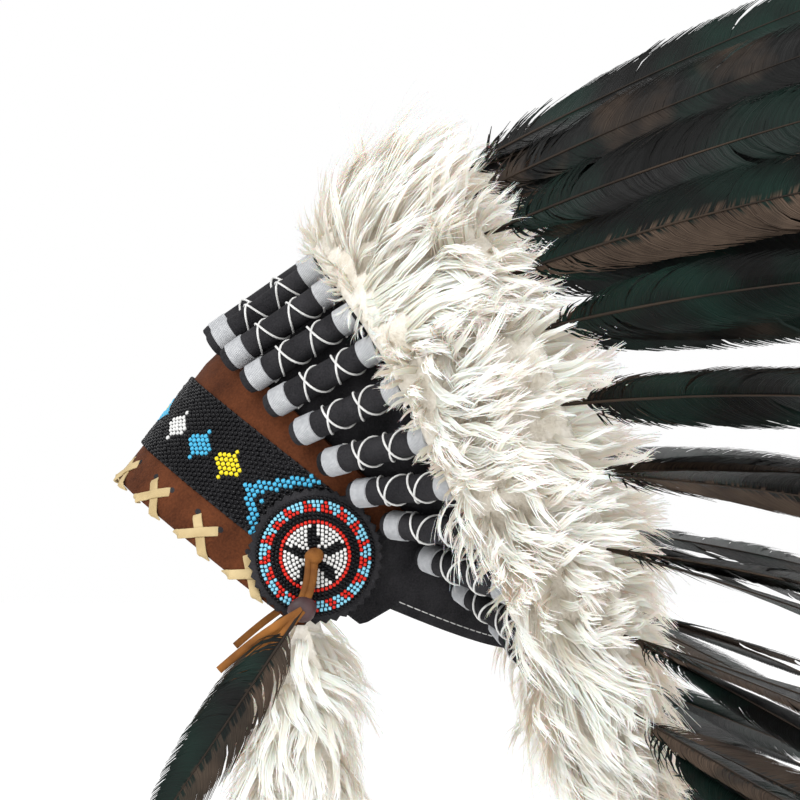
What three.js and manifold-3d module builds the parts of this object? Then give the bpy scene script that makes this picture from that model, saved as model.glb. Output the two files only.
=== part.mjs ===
import * as THREE from 'three';
import { mergeVertices } from 'three/addons/utils/BufferGeometryUtils.js';
import Module from 'manifold-3d';

const wasm = await Module();
wasm.setup();

// Head opening: an ellipse whose ring leans back, higher at the brow than at the nape
const headHalfLength = 93.5;
const headHalfWidth = 77;
const ringTilt = 37.6;
const headDivisions = 720;

// Walls, from the head outwards, and the gap that neighbours keep
const clearance = 0.3;
const feltThickness = 2;
const suedeThickness = 2;
const beadedThickness = 1.3;

// Heights along the ring's axis, from the middle of the beaded strip
const kneeHeight = 30;
const beadedHeight = 37.4;
const suedeDrop = 37.8;
const suedeLap = 8;
const hemHeight = 5;
const hemThickness = 0.8;
const feltDrop = 20.5;
const seamHeight = 2;

// How far each way round the half ring a piece reaches, the nape being 1
const suedeReach = 0.53;
const beadedReach = 0.47;
const collarReach = 0.86;
const rosettePlace = 0.478;
const ringColumns = 48;

// Felt rolls with thread wraps at both ends
const quillRadius = 6.5;
const quillBodyRadius = 6.1;
const quillTipRadius = 5.4;
const quillLength = 62.6;
const quillTipLength = 2;
const wrapLength = 9;
const quillSides = 8;
const quillSeat = 3;
// Least outward share of the flare at which a quill can meet the upright wall
const steepFlare = 0.15;

// Fur that grows from the quills' upper ends
const furSocket = 2;
const furLength = 80;
const furOutward = 18.5;
const furInward = 15;
const furValley = 0.8;
const furEndSwell = 0.55;
const lockLength = 34;
const lockWidth = 17;
const lockThickness = 9;
const lockSides = 4;

// Feathers beyond the fur
const featherLength = 245;
const featherWidth = 32;
const featherSocket = 12;
const shaftRadius = 1.7;
const shaftTaper = 0.6;
const socketSides = 6;
// Shares of the sweep that the first half takes, and of the quill's lean that is left at the tip
const earlySweep = 0.4;
const tipLean = 0.96;
// The second feather of each quill: how far its tip tilts inwards and strays towards the nape,
// in degrees, and its length
const secondTilt = 9;
const secondStray = 5;
const secondLength = 0.86;

// Rosettes
const rosetteRadius = 29.6;
const rosetteDrop = 8.4;
const rosetteThickness = 2;
const rosetteTeeth = 36;
const rosetteToothDepth = 2.2;
const rosetteFieldRadius = 26.5;
const rosetteDome = 2.4;
const rosetteSides = 18;

// Drops that hang from the rosettes
const thongWidth = 3.4;
const thongThickness = 2;
const thongSides = 6;
const tailSides = 4;
const ballSides = 8;
const ballRows = 5;
const knobRadius = 4.2;
const knotRadius = 6.4;
// Share of the knot's radius at which the tails and the feather leave it
const knotSeat = 0.75;
const knotForward = 5;
const knotBelow = 23;
const tailForward = 33;
const tailBelow = 29;
const tailSplay = 6;
const dropFeatherLength = 118;
const dropFeatherWidth = 30;
const dropFeatherSlope = 34;
const furDropLength = 150;
const furDropWidth = 30;
const furDropThickness = 17;
const furDropSides = 8;
const furDropBend = 80;

// One row a quill, from the brow to the nape. Place is a share of the half ring.
// Rise is the angle above level seen from the side, lean the angle out to the side.
// Sweep is how far the feather's tip turns down from its quill, and turn is how far its
// broad side turns from the wall towards the side, all in degrees.
const stations = [
  { place: 0, rise: 35, lean: 0, sweep: 15, turn: 0, length: 1 },
  { place: 0.079, rise: 35.5, lean: 9, sweep: 17, turn: 18, length: 0.98 },
  { place: 0.15, rise: 34, lean: 15, sweep: 19, turn: 20, length: 1 },
  { place: 0.215, rise: 31.5, lean: 20, sweep: 21, turn: 22, length: 0.97 },
  { place: 0.276, rise: 28.5, lean: 25, sweep: 23, turn: 22, length: 0.98 },
  { place: 0.337, rise: 23.5, lean: 31, sweep: 24, turn: 20, length: 0.94 },
  { place: 0.398, rise: 14.5, lean: 37, sweep: 22, turn: 18, length: 0.95 },
  { place: 0.46, rise: 6, lean: 42, sweep: 20, turn: 16, length: 0.92 },
  { place: 0.528, rise: -5, lean: 45, sweep: 20, turn: 18, length: 0.93 },
  { place: 0.602, rise: -20, lean: 47, sweep: 12, turn: 30, length: 0.9 },
  { place: 0.684, rise: -35, lean: 48, sweep: 0, turn: 46, length: 0.9 },
  { place: 0.782, rise: -51, lean: 45, sweep: -4, turn: 60, length: 0.86 },
];

// Lower edge of the felt: depth below the strip's middle as a share of feltDrop
const feltEdge = [
  { place: 0, depth: 1 },
  { place: 0.604, depth: 1 },
  { place: 0.625, depth: 0.35 },
  { place: 0.89, depth: -0.5 },
  { place: 1, depth: -0.55 },
];

// Fur section: distance along the fur, and half depth each way, as shares
const furSection = [
  { along: 0, outward: 0.4, inward: 0.45 },
  { along: 0.14, outward: 0.82, inward: 0.75 },
  { along: 0.42, outward: 1, inward: 1 },
  { along: 0.74, outward: 0.86, inward: 0.85 },
  { along: 1, outward: 0.28, inward: 0.3 },
];

// Fur lock: shares of its length, of its thickness that it stands off and that it strays
// to the side, and of its width and thickness
const lockShape = [
  { along: 0, lift: 0, stray: 0, width: 1, thickness: 1 },
  { along: 0.5, lift: 0.7, stray: 0.2, width: 0.76, thickness: 0.72 },
  { along: 1, lift: 0.9, stray: 0.5, width: 0.12, thickness: 0.16 },
];

// Where a lock is rooted: shares of the fur's length and of its depth outwards or inwards
const outerLock = { along: 0.3, depth: 0.72 };
const innerLock = { along: 0.68, depth: 0.55 };

// Vane outline: distance along the feather and width, as shares
const vaneOutline = [
  { along: 0, width: 0 },
  { along: 0.075, width: 0 },
  { along: 0.13, width: 0.62 },
  { along: 0.24, width: 0.96 },
  { along: 0.45, width: 1 },
  { along: 0.72, width: 0.82 },
  { along: 0.92, width: 0.42 },
  { along: 1, width: 0.06 },
];

// Bead dome of a rosette: shares of its field's radius and of its height
const domeProfile = [
  { radius: 1, height: 0.4 },
  { radius: 0.6, height: 0.85 },
  { radius: 0, height: 1 },
];

// The two strips of a fur drop: shares of furDropWidth for the sweep to the back and for the
// width, and of furDropLength
const furDropStrips = [
  { sweep: 0.45, length: 1, width: 1 },
  { sweep: -0.6, length: 0.9, width: 1.1 },
];

// One strip from its top: shares of its length, width and thickness
const furDropShape = [
  { along: 0, width: 0.2, thickness: 0.2 },
  { along: 0.07, width: 0.35, thickness: 0.4 },
  { along: 0.16, width: 0.8, thickness: 0.8 },
  { along: 0.45, width: 1, thickness: 1 },
  { along: 0.75, width: 0.95, thickness: 0.9 },
  { along: 1, width: 0.5, thickness: 0.4 },
];

// Points closer than this are one point, and a joined body is simplified within the other
const mergeDistance = 1e-3;
const flatTolerance = 0.08;

const radians = THREE.MathUtils.degToRad;
const ringAxis = new THREE.Vector3(0, 0, 1);
const headCurve = new THREE.EllipseCurve(
  0, 0, headHalfLength, headHalfWidth, Math.PI, 3 * Math.PI, false,
);
headCurve.arcLengthDivisions = headDivisions;

const suedeInside = feltThickness + clearance;
const suedeOutside = suedeInside + suedeThickness;
const beadedInside = suedeOutside + clearance;
const beadedOutside = beadedInside + beadedThickness;
const quillAxisOffset = suedeOutside + clearance + quillRadius;

// A column read at a place between the rows of a table
function readTable(rows, place, column) {
  const past = rows.findIndex((row) => row.place > place);
  const upper = past === -1 ? rows.length - 1 : Math.max(past, 1);
  const low = rows[upper - 1];
  const high = rows[upper];
  const share = THREE.MathUtils.clamp((place - low.place) / (high.place - low.place), 0, 1);
  return THREE.MathUtils.lerp(low[column], high[column], share);
}

// Point reached from a start by steps along several directions
function reach(start, ...steps) {
  const point = start.clone();
  for (const [direction, distance] of steps) point.addScaledVector(direction, distance);
  return point;
}

// Direction of a quill or feather in the ring's own frame
function heading(rise, lean, side) {
  const pitch = radians(rise + ringTilt);
  const out = radians(lean);
  return new THREE.Vector3(
    Math.cos(out) * Math.cos(pitch), side * Math.sin(out), Math.cos(out) * Math.sin(pitch),
  );
}

// The wall's frame at a signed place on the ring: negative to the wearer's left
function wallFrame(place) {
  const side = place < 0 ? -1 : 1;
  const share = Math.min(Math.abs(place), 1);
  const flat = headCurve.getPointAt(share / 2);
  const foot = new THREE.Vector3(flat.x, side * Math.abs(flat.y), 0);
  const out = new THREE.Vector3(
    foot.x / headHalfLength ** 2, foot.y / headHalfWidth ** 2, 0,
  ).normalize();
  const round = new THREE.Vector3(out.y, -out.x, 0);
  const flare = heading(readTable(stations, share, 'rise'), readTable(stations, share, 'lean'), side);
  const face = new THREE.Vector3().crossVectors(flare, round).normalize();
  const knee = reach(foot, [ringAxis, kneeHeight]);
  return { share, foot, out, round, flare, face, knee };
}

// Point of the wall: height above the knee, upright below it and flared above it
function wallPoint(frame, height, offset) {
  if (height < 0) return reach(frame.knee, [frame.out, offset], [ringAxis, height]);
  if (height > 0) return reach(frame.knee, [frame.face, offset], [frame.flare, height]);
  const mitre = offset / (1 + frame.out.dot(frame.face));
  return reach(frame.knee, [frame.out, mitre], [frame.face, mitre]);
}

// Distance from the knee to a quill's lower end, so that it clears the upright wall
function quillStart(frame) {
  const outward = frame.flare.dot(frame.out);
  if (outward < steepFlare) return quillSeat;
  const slope = frame.face.dot(frame.out);
  const wall = suedeOutside + clearance;
  const near = (wall - wall * slope) / outward;
  const far = (wall - (wall + 2 * quillRadius) * slope) / outward;
  return Math.max(quillSeat, near + clearance, far + clearance);
}

// A closed body from vertex and triangle lists, turned so that its faces point out
function closedGeometry(points, triangles) {
  let volume = 0;
  for (const [a, b, c] of triangles) {
    volume += points[a].dot(new THREE.Vector3().crossVectors(points[b], points[c]));
  }
  const turned = volume < 0 ? triangles.map(([a, b, c]) => [a, c, b]) : triangles;
  const geometry = new THREE.BufferGeometry();
  geometry.setAttribute(
    'position', new THREE.Float32BufferAttribute(points.flatMap((p) => [p.x, p.y, p.z]), 3),
  );
  geometry.setIndex(turned.flat());
  geometry.computeVertexNormals();
  return geometry;
}

// Skin over loops that all have the same number of points
function loft(loops, closed, capTriangles) {
  const count = loops[0].length;
  const points = loops.flat();
  const triangles = [];
  const spans = closed ? loops.length : loops.length - 1;
  for (let i = 0; i < spans; i += 1) {
    const here = i * count;
    const next = ((i + 1) % loops.length) * count;
    for (let j = 0; j < count; j += 1) {
      const k = (j + 1) % count;
      triangles.push([here + j, next + j, next + k], [here + j, next + k, here + k]);
    }
  }
  if (!closed) {
    const end = (loops.length - 1) * count;
    for (const [a, b, c] of capTriangles) {
      triangles.push([a, c, b], [end + a, end + b, end + c]);
    }
  }
  return closedGeometry(points, triangles);
}

// Cap for a loop made of an outer row of points and the same inner row backwards
function stripCap(rows) {
  const cap = [];
  for (let i = 0; i < rows - 1; i += 1) {
    const back = 2 * rows - 1 - i;
    cap.push([i, back, i + 1], [i + 1, back, back - 1]);
  }
  return cap;
}

// Cap for a convex loop
function fanCap(count) {
  const cap = [];
  for (let i = 1; i < count - 1; i += 1) cap.push([0, i + 1, i]);
  return cap;
}

// Columns that every wall shares: an even spread, and the places where a wall ends
const sharedPlaces = [-1, 1].flatMap((side) => [suedeReach, beadedReach, collarReach]
  .map((place) => side * place));
for (let i = -ringColumns / 2; i <= ringColumns / 2; i += 1) sharedPlaces.push((2 * i) / ringColumns);
sharedPlaces.sort((a, b) => a - b);

function ringPlaces(end) {
  return sharedPlaces.filter((place) => Math.abs(place) <= end);
}

// A wall round the ring. Rows give height above the knee and both offsets.
function wall(places, rowsAt, closed) {
  const loops = places.map((place) => {
    const frame = wallFrame(place);
    const rows = rowsAt(frame);
    const outer = rows.map((row) => wallPoint(frame, row.height, row.outside));
    const inner = rows.map((row) => wallPoint(frame, row.height, row.inside));
    return [...outer, ...inner.reverse()];
  });
  return loft(loops, closed, stripCap(loops[0].length / 2));
}

function toSolid(geometry) {
  const bare = geometry.clone();
  bare.deleteAttribute('normal');
  if (bare.attributes.uv) bare.deleteAttribute('uv');
  const merged = mergeVertices(bare, mergeDistance);
  return new wasm.Manifold(new wasm.Mesh({
    numProp: 3,
    vertProperties: new Float32Array(merged.attributes.position.array),
    triVerts: new Uint32Array(merged.index.array),
  }));
}

function toGeometry(solid) {
  const mesh = solid.getMesh();
  const geometry = new THREE.BufferGeometry();
  geometry.setAttribute('position', new THREE.BufferAttribute(mesh.vertProperties, 3));
  geometry.setIndex(new THREE.BufferAttribute(mesh.triVerts, 1));
  geometry.computeVertexNormals();
  return geometry;
}

// A body of many geometries joined into one, with others cut away
function fuse(parts, cuts = []) {
  let solid = toSolid(parts[0]);
  for (const part of parts.slice(1)) solid = solid.add(toSolid(part));
  for (const cut of cuts) solid = solid.subtract(toSolid(cut));
  return toGeometry(solid.asOriginal().simplify(flatTolerance));
}

// Tapering round or flat limb through centre points with matching half sizes
function limb(centres, across, halfWidths, halfDepths, sides) {
  const loops = centres.map((centre, i) => {
    const before = centres[Math.max(i - 1, 0)];
    const after = centres[Math.min(i + 1, centres.length - 1)];
    const along = new THREE.Vector3().subVectors(after, before).normalize();
    const wide = reach(across, [along, -across.dot(along)]).normalize();
    const deep = new THREE.Vector3().crossVectors(along, wide);
    return Array.from({ length: sides }, (_, j) => {
      const angle = (2 * Math.PI * j) / sides;
      return reach(
        centre, [wide, halfWidths[i] * Math.cos(angle)], [deep, halfDepths[i] * Math.sin(angle)],
      );
    });
  });
  return loft(loops, false, fanCap(sides));
}

// Materials
const suede = new THREE.MeshStandardMaterial({ color: 0x5a3018, roughness: 0.95 });
const blackFelt = new THREE.MeshStandardMaterial({ color: 0x1b1a1c, roughness: 1 });
const blackBeads = new THREE.MeshStandardMaterial({ color: 0x101216, roughness: 0.25 });
const redBeads = new THREE.MeshStandardMaterial({ color: 0xb3261c, roughness: 0.35 });
const whiteFur = new THREE.MeshStandardMaterial({ color: 0xece8dc, roughness: 0.9 });
const blackFeather = new THREE.MeshStandardMaterial({ color: 0x141c19, roughness: 0.5 });
const thongLeather = new THREE.MeshStandardMaterial({ color: 0x7a431d, roughness: 0.8 });

const headdress = new THREE.Group();
const ring = new THREE.Group();
ring.rotation.y = radians(ringTilt);
headdress.add(ring);

function addTo(group, name, geometry, material) {
  const mesh = new THREE.Mesh(geometry, material.clone());
  mesh.name = name;
  group.add(mesh);
  return mesh;
}

// Brown suede brow band, folded to a thicker hem along its lower edge
function suedeRows() {
  const bottom = -(kneeHeight + suedeDrop);
  const middle = (suedeInside + suedeOutside) / 2;
  return [
    { height: bottom, outside: middle + hemThickness, inside: middle - hemThickness },
    { height: bottom + hemThickness, outside: suedeOutside + hemThickness, inside: suedeInside },
    { height: bottom + hemHeight, outside: suedeOutside, inside: suedeInside },
    { height: 0, outside: suedeOutside, inside: suedeInside },
    { height: suedeLap, outside: suedeOutside, inside: suedeInside + 2 * clearance },
  ];
}
addTo(ring, 'brow_band', wall(ringPlaces(suedeReach), suedeRows, false), suede);

// Beaded strip sewn along the middle of the band
function beadedRows() {
  const half = beadedHeight / 2;
  return [
    { height: -half - kneeHeight, outside: beadedOutside, inside: beadedInside },
    { height: half - kneeHeight, outside: beadedOutside, inside: beadedInside },
  ];
}
addTo(ring, 'beaded_strip', wall(ringPlaces(beadedReach), beadedRows, false), blackBeads);

// Black felt: a ring round the head, and a collar that flares out behind the quills
function furStart(frame) {
  return quillStart(frame) + quillLength - furSocket;
}

function feltRingRows(frame) {
  const depth = readTable(feltEdge, frame.share, 'depth') * feltDrop;
  return [
    { height: -kneeHeight - depth, outside: feltThickness, inside: 0 },
    { height: -seamHeight, outside: feltThickness, inside: 0 },
  ];
}

function feltCollarRows(frame) {
  return [
    { height: clearance - seamHeight, outside: feltThickness, inside: 0 },
    { height: 0, outside: feltThickness, inside: 0 },
    { height: furStart(frame) - clearance, outside: feltThickness, inside: 0 },
  ];
}
addTo(ring, 'felt_ring', wall(ringPlaces(1).slice(1), feltRingRows, true), blackFelt);
addTo(ring, 'felt_collar', wall(ringPlaces(collarReach), feltCollarRows, false), blackFelt);

// Quills: one at the brow and the rest in mirrored pairs
const quillProfile = [
  [0, 0],
  [quillTipRadius, 0],
  [quillRadius, quillTipLength],
  [quillRadius, quillTipLength + wrapLength],
  [quillBodyRadius, quillTipLength + wrapLength + clearance],
  [quillBodyRadius, quillLength - quillTipLength - wrapLength - clearance],
  [quillRadius, quillLength - quillTipLength - wrapLength],
  [quillRadius, quillLength - quillTipLength],
  [quillTipRadius, quillLength],
  [0, quillLength],
].map(([x, y]) => new THREE.Vector2(x, y));

function rosterOf(side) {
  return stations.slice(1).map((row, index) => ({
    ...row,
    side,
    place: side * row.place,
    label: `${side < 0 ? 'left' : 'right'}_${String(index + 1).padStart(2, '0')}`,
  }));
}
const roster = [{ ...stations[0], side: 1, label: 'front' }, ...rosterOf(-1), ...rosterOf(1)];

function quillRoot(frame) {
  return reach(frame.knee, [frame.face, quillAxisOffset], [frame.flare, quillStart(frame)]);
}

for (const row of roster) {
  const frame = wallFrame(row.place);
  const quill = addTo(
    ring, `quill_${row.label}`, new THREE.LatheGeometry(quillProfile, quillSides), blackFelt,
  );
  quill.position.copy(quillRoot(frame));
  quill.quaternion.setFromUnitVectors(new THREE.Vector3(0, 1, 0), frame.flare);
}

// Feathers: a bare shaft set in the fur, then a long vane that sweeps down.
// Tilt turns its tip in from the wall, and stray turns it towards the nape, in degrees.
function featherCurve(row, frame, length, tilt, stray) {
  const start = furStart(frame) + furLength - featherSocket;
  const root = reach(frame.knee, [frame.face, quillAxisOffset], [frame.flare, start]);
  const inward = [frame.face, -Math.tan(radians(tilt)) * (length / 2)];
  const sideways = [frame.round, Math.sign(row.place) * Math.tan(radians(stray)) * (length / 2)];
  const early = heading(row.rise - row.sweep * earlySweep, row.lean, row.side);
  const late = heading(row.rise - row.sweep, row.lean * tipLean, row.side);
  const bend = reach(root, [early, length / 2], inward, sideways);
  const tip = reach(bend, [late, length / 2], inward, sideways);
  return new THREE.QuadraticBezierCurve3(root, bend, tip);
}

function featherCurves(row, frame) {
  const length = featherLength * row.length;
  return [
    featherCurve(row, frame, length, 0, 0),
    featherCurve(row, frame, length * secondLength, secondTilt, secondStray),
  ];
}

function featherGeometry(curve, across, width) {
  const loops = vaneOutline.map((row) => {
    const centre = curve.getPoint(row.along);
    const along = curve.getTangent(row.along);
    const wide = reach(across, [along, -across.dot(along)]).normalize();
    const deep = new THREE.Vector3().crossVectors(along, wide);
    const ridge = shaftRadius * (1 - shaftTaper * row.along);
    const half = Math.max((width / 2) * row.width, ridge);
    return [[wide, half], [deep, ridge], [wide, -half], [deep, -ridge]]
      .map((step) => reach(centre, step));
  });
  return loft(loops, false, fanCap(loops[0].length));
}

for (const row of roster) {
  const frame = wallFrame(row.place);
  const across = frame.round.clone().applyAxisAngle(frame.flare, radians(-row.side * row.turn));
  const blades = featherCurves(row, frame).map(
    (curve) => featherGeometry(curve, across, featherWidth),
  );
  addTo(ring, `feather_${row.label}`, fuse(blades), blackFeather);
}

// Fur: a padded strip with a swell over each quill, and locks that stand off it
function furLoop(place, swell) {
  const frame = wallFrame(place);
  const base = reach(frame.knee, [frame.flare, furStart(frame)]);
  const at = (row, offset) => reach(
    base, [frame.flare, row.along * furLength], [frame.face, quillAxisOffset + offset],
  );
  const outer = furSection.map((row) => at(row, furOutward * row.outward * swell));
  const inner = furSection.map((row) => at(row, -furInward * row.inward * swell));
  return [...outer, ...inner.reverse()];
}

function furPlaces() {
  const half = stations.flatMap((row, index) => {
    if (index === 0) return [{ place: 0, swell: 1 }];
    const between = (row.place + stations[index - 1].place) / 2;
    return [{ place: between, swell: furValley }, { place: row.place, swell: 1 }];
  });
  half.push({ place: collarReach, swell: furEndSwell });
  const mirrored = half.slice(1).map((row) => ({ ...row, place: -row.place })).reverse();
  return [...mirrored, ...half];
}

// A lock of fur, standing outwards for a positive offset and straying to one side
function furLock(place, along, offset, stray) {
  const frame = wallFrame(place);
  const outward = Math.sign(offset);
  const centres = lockShape.map((row) => reach(
    frame.knee, [frame.flare, furStart(frame) + along * furLength + row.along * lockLength],
    [frame.face, quillAxisOffset + offset + outward * row.lift * lockThickness],
    [frame.round, stray * row.stray * lockWidth],
  ));
  const widths = lockShape.map((row) => (row.width * lockWidth) / 2);
  const depths = lockShape.map((row) => (row.thickness * lockThickness) / 2);
  return limb(centres, frame.round, widths, depths, lockSides);
}

function furCollar() {
  const places = furPlaces();
  const loops = places.map((row) => furLoop(row.place, row.swell));
  const strip = loft(loops, false, stripCap(furSection.length));
  const locks = places.flatMap((row, index) => {
    if (row.swell < 1) return [];
    const stray = index % 4 < 2 ? 1 : -1;
    const outer = furLock(row.place, outerLock.along, furOutward * outerLock.depth, stray);
    const inner = furLock(row.place, innerLock.along, -furInward * innerLock.depth, -stray);
    return stray > 0 ? [outer] : [outer, inner];
  });
  return [strip, ...locks];
}

function roundPlug(root, direction, radius, length, sides) {
  const plug = new THREE.CylinderGeometry(radius, radius, length, sides);
  const middle = reach(root, [direction, length / 2]);
  const turn = new THREE.Quaternion().setFromUnitVectors(new THREE.Vector3(0, 1, 0), direction);
  plug.applyQuaternion(turn);
  plug.translate(middle.x, middle.y, middle.z);
  return plug;
}

// Sockets: one for each quill's end, and one for its two feathers, midway between them
const furSockets = roster.flatMap((row) => {
  const frame = wallFrame(row.place);
  const [first, second] = featherCurves(row, frame);
  const direction = first.getTangent(0).add(second.getTangent(0)).normalize();
  const foot = reach(quillRoot(frame), [frame.flare, quillLength - quillRadius]);
  return [
    roundPlug(
      foot, frame.flare, quillRadius + 2 * clearance, quillRadius + clearance, quillSides,
    ),
    roundPlug(
      reach(first.v0, [direction, -clearance - shaftRadius]), direction, 2 * shaftRadius,
      2 * featherSocket, socketSides,
    ),
  ];
});
addTo(ring, 'fur_collar', fuse(furCollar(), furSockets), whiteFur);

// Rosette: a disc with a pinked edge and a low dome of beads
function rosetteGeometry() {
  const outline = new THREE.Shape();
  for (let i = 0; i < 2 * rosetteTeeth; i += 1) {
    const radius = i % 2 ? rosetteRadius - rosetteToothDepth : rosetteRadius;
    const angle = (Math.PI * i) / rosetteTeeth;
    outline[i ? 'lineTo' : 'moveTo'](radius * Math.cos(angle), radius * Math.sin(angle));
  }
  const disc = new THREE.ExtrudeGeometry(outline, { depth: rosetteThickness, bevelEnabled: false });
  const profile = [
    new THREE.Vector2(0, rosetteThickness / 2),
    new THREE.Vector2(rosetteFieldRadius, rosetteThickness / 2),
    ...domeProfile.map((row) => new THREE.Vector2(
      rosetteFieldRadius * row.radius, rosetteThickness + rosetteDome * row.height,
    )),
  ];
  const dome = new THREE.LatheGeometry(profile, rosetteSides);
  dome.rotateX(Math.PI / 2);
  return fuse([disc, dome]);
}

// Leather thong: a knob at the rosette, a knot below it, two tails and a tied feather
const down = new THREE.Vector3(0, 0, -1);
const forward = new THREE.Vector3(-1, 0, 0);

function ball(centre, radius) {
  const sphere = new THREE.SphereGeometry(radius, ballSides, ballRows);
  sphere.translate(centre.x, centre.y, centre.z);
  return sphere;
}

function thongDrop(knob, out) {
  const knot = reach(knob, [out, knotRadius - knobRadius], [forward, knotForward], [down, knotBelow]);
  const face = reach(knot, [out, knotRadius * knotSeat]);
  const half = thongWidth / 2;
  const thin = thongThickness / 2;
  const loop = limb([knob, knot], forward, [half, half], [thin, thin], thongSides);
  const tails = [-1, 1].map((turn) => {
    const bend = reach(face, [forward, tailForward / 2], [down, tailBelow / 2 + turn]);
    const end = reach(
      face, [forward, tailForward - turn * tailSplay / 2], [down, tailBelow + turn * tailSplay / 2],
    );
    return limb([face, bend, end], out, [half, half, half], [thin, thin, thin], tailSides);
  });
  const slope = radians(dropFeatherSlope);
  const lie = new THREE.Vector3(-Math.sin(slope), 0, -Math.cos(slope));
  const middle = reach(face, [lie, dropFeatherLength / 2], [out, knotRadius / 2]);
  const tip = reach(face, [lie, dropFeatherLength], [out, knotRadius / 2]);
  const curve = new THREE.QuadraticBezierCurve3(face, middle, tip);
  const across = new THREE.Vector3(Math.cos(slope), 0, -Math.sin(slope));
  const feather = featherGeometry(curve, across, dropFeatherWidth);
  const geometry = fuse([loop, ball(knob, knobRadius), ball(knot, knotRadius), ...tails, feather]);
  return { knot, geometry };
}

// White fur drop: two strips side by side that hang from the knot
function furDrop(knot, out) {
  const top = reach(knot, [down, knotRadius + clearance], [out, -furDropThickness / 4]);
  const bend = radians(furDropBend);
  const strips = furDropStrips.map((strip) => {
    const centres = furDropShape.map((row) => reach(
      top, [forward, -strip.sweep * furDropWidth * Math.sin(row.along * bend)],
      [down, row.along * strip.length * furDropLength],
    ));
    const widths = furDropShape.map((row) => (row.width * strip.width * furDropWidth) / 2);
    const depths = furDropShape.map((row) => (row.thickness * furDropThickness) / 2);
    return limb(centres, forward, widths, depths, furDropSides);
  });
  return fuse(strips);
}

for (const side of [-1, 1]) {
  const label = side < 0 ? 'left' : 'right';
  const frame = wallFrame(side * rosettePlace);
  const rosette = addTo(ring, `rosette_${label}`, rosetteGeometry(), redBeads);
  rosette.position.copy(
    reach(frame.foot, [frame.out, beadedOutside + clearance], [ringAxis, -rosetteDrop]),
  );
  rosette.quaternion.setFromUnitVectors(ringAxis, frame.out);
  const standOff = rosetteThickness + rosetteDome + clearance + knobRadius;
  ring.updateMatrixWorld(true);
  const centre = rosette.localToWorld(new THREE.Vector3(0, 0, standOff));
  const out = new THREE.Vector3(0, side, 0);
  const drop = thongDrop(centre, out);
  addTo(headdress, `thong_drop_${label}`, drop.geometry, thongLeather);
  addTo(headdress, `fur_drop_${label}`, furDrop(drop.knot, out), whiteFur);
}

export default headdress;
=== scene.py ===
import math

import bmesh
import bpy
import numpy as np
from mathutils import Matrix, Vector


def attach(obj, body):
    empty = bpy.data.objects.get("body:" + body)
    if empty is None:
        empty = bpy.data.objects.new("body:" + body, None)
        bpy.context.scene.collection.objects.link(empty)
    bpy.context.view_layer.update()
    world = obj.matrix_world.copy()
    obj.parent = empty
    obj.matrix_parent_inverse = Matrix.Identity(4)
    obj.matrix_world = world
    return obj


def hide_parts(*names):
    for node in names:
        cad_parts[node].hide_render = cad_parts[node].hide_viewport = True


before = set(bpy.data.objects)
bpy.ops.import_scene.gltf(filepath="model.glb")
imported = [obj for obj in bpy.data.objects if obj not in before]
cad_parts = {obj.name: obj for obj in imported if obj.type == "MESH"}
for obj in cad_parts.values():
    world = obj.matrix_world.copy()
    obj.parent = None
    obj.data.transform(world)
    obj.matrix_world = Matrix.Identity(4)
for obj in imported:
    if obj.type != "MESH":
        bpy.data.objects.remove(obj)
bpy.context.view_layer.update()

MM = 0.001
SIDES = ((-1, "left"), (1, "right"))
ROSTER = [(0, 1, "front")] + [(n, side, f"{name}_{n:02d}") for side, name in SIDES for n in range(1, 12)]
random = np.random.default_rng(7)

# Sizes in millimetres, as the frame has them
HEAD_LONG, HEAD_WIDE = 93.5, 77.0
TILT = math.radians(37.6)
GAP, FELT, SUEDE, STRIP = 0.3, 2.0, 2.0, 1.3
KNEE, STRIP_HIGH, SUEDE_DROP, SUEDE_LAP, FELT_DROP = 30.0, 37.4, 37.8, 8.0, 20.5
SUEDE_REACH, STRIP_REACH, COLLAR_REACH, ROSETTE_PLACE = 0.53, 0.47, 0.86, 0.478
QUILL_R, QUILL_BODY, QUILL_TIP, QUILL_LONG = 6.5, 6.0, 2.0, 62.6
WRAP, WRAP_TURNS, ROLL_SIDES = 9.0, 13, 18
CROSS_CORD_R, CROSS_CORD_TURN = 0.52, 0.43
FUR_LONG, FUR_OUT, FUR_IN = 80.0, 18.5, 15.0
FEATHER_LONG, FEATHER_WIDE, SOCKET = 245.0, 32.0, 12.0
ROSETTE_R, ROSETTE_DROP, ROSETTE_DOME = 29.6, 8.4, 2.4
BEAD, STRIP_ROWS, STRIP_PACK, BEAD_SIT = 2.3, 16, 0.97, 0.7
LACE_PLACES, LACE_SPREAD, LACE_TOP = (17.5, 52.5, 86.0, 117.0), 7.2, -STRIP_HIGH / 2 - 7.2
LACE_WIDE, LACE_THICK, LACE_UNDER = 4.3, 0.7, 0.2
STITCH_FROM, STITCH_TO, STITCH_STEP, STITCH_LONG, STITCH_R = 0.63, 0.97, 0.0135, 0.0105, 0.24
SUEDE_OUT = FELT + GAP + SUEDE
STRIP_OUT = SUEDE_OUT + GAP + STRIP
QUILL_OFF = SUEDE_OUT + GAP + QUILL_R

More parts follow.
